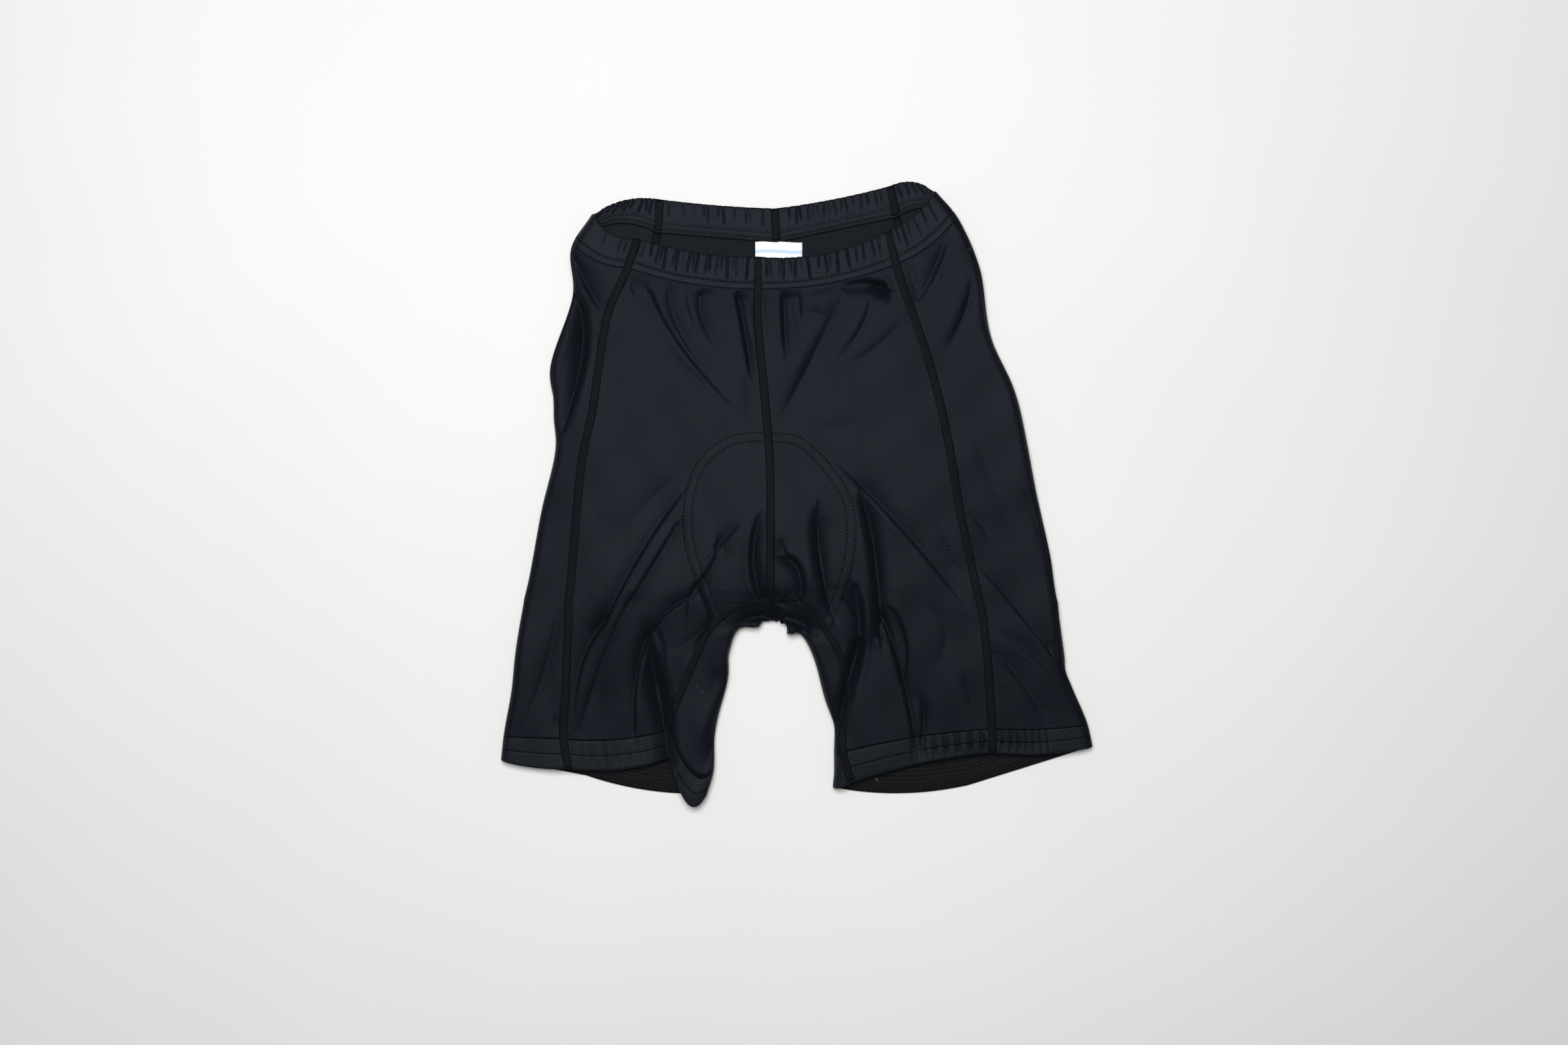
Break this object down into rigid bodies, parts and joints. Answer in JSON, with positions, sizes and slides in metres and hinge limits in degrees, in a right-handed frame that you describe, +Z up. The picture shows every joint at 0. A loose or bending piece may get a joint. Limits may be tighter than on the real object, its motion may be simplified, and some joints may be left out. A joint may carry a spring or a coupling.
{
  "type": "cycling shorts",
  "caption": "Black padded cycling shorts laid flat, front up: panelled stretch cloth, gathered elastic waist, gripper leg hems and a folded seat pad.",
  "frame": {"origin": "on the surface the shorts lie on, under the middle of their outline", "axes": "+X to the wearer's left, +Y towards the waist, +Z up from the surface through the back and then the front"},
  "size_m": [0.4196, 0.4429, 0.0199],
  "materials": {
    "cloth": "blue-black warp-knit nylon and elastane, fine ribs, a soft satin sheen along the folds",
    "casing": "the same cloth gathered in narrow puffs over elastic tape",
    "hem": "the same cloth turned up and cover stitched over a gripper tape",
    "label": "white woven satin with one plain pale blue band",
    "pad": "brushed knit over soft foam"
  },
  "bodies": {
    "root": {"front_centre_right": "cloth", "front_centre_left": "cloth", "front_side_right": "cloth", "front_side_left": "cloth", "back_side_right": "cloth", "back_side_left": "cloth", "back_centre_right": "cloth", "back_centre_left": "cloth", "waistband_front": "casing", "waistband_back": "casing", "leg_hem_front_right": "hem", "leg_hem_front_left": "hem", "leg_hem_back_right": "hem", "leg_hem_back_left": "hem", "label": "label", "seat_pad": "pad"}
  },
  "joints": []
}
